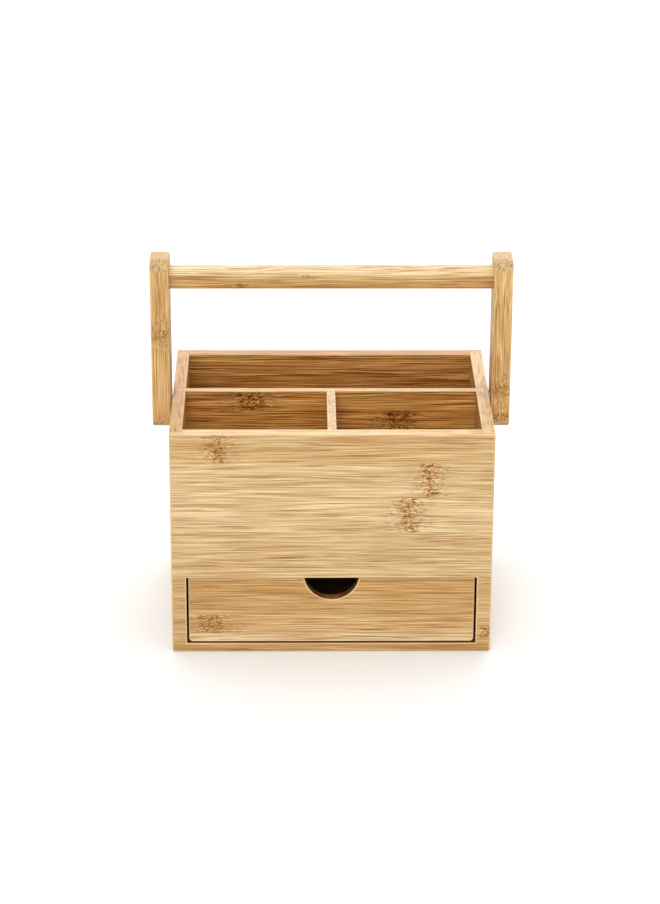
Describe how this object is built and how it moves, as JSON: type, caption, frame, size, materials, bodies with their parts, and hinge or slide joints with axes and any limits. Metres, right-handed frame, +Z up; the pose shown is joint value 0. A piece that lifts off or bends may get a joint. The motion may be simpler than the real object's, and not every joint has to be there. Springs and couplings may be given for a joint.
{
  "type": "desk organizer",
  "caption": "Rectangular bamboo desk caddy: open compartments over a drawer with a half-round finger notch, carried by a swinging handle with a round rod.",
  "frame": {"origin": "on the surface the caddy stands on, under the middle of the case", "axes": "+Z up, +X to the right seen from the front, +Y towards the rear; the drawer opens towards -Y"},
  "size_m": [0.2258, 0.146, 0.2379],
  "materials": {
    "bamboo": "satin lacquered bamboo, laminated from strips",
    "zinc_steel": "zinc-plated"
  },
  "bodies": {
    "case": {"front_panel": "bamboo", "rear_panel": "bamboo", "left_side_panel": "bamboo", "right_side_panel": "bamboo", "base_panel": "bamboo", "compartment_floor": "bamboo", "long_divider": "bamboo", "short_divider": "bamboo", "left_pivot_screw": "zinc_steel", "right_pivot_screw": "zinc_steel", "left_spacer_washer": "zinc_steel", "right_spacer_washer": "zinc_steel"},
    "drawer": {"drawer_front": "bamboo", "drawer_back": "bamboo", "drawer_left_side": "bamboo", "drawer_right_side": "bamboo", "drawer_bottom": "bamboo"},
    "handle": {"left_handle_arm": "bamboo", "right_handle_arm": "bamboo", "handle_rod": "bamboo"}
  },
  "joints": [
    {"name": "drawer_slide", "type": "slide", "parent": "case", "child": "drawer", "axis": [0, -1, 0], "range_m": [0, 0.1]},
    {"name": "handle_swing", "type": "hinge", "parent": "case", "child": "handle", "pos_m": [0, 0.0019, 0.1395], "axis": [1, 0, 0], "range_deg": [-110, 101]}
  ]
}
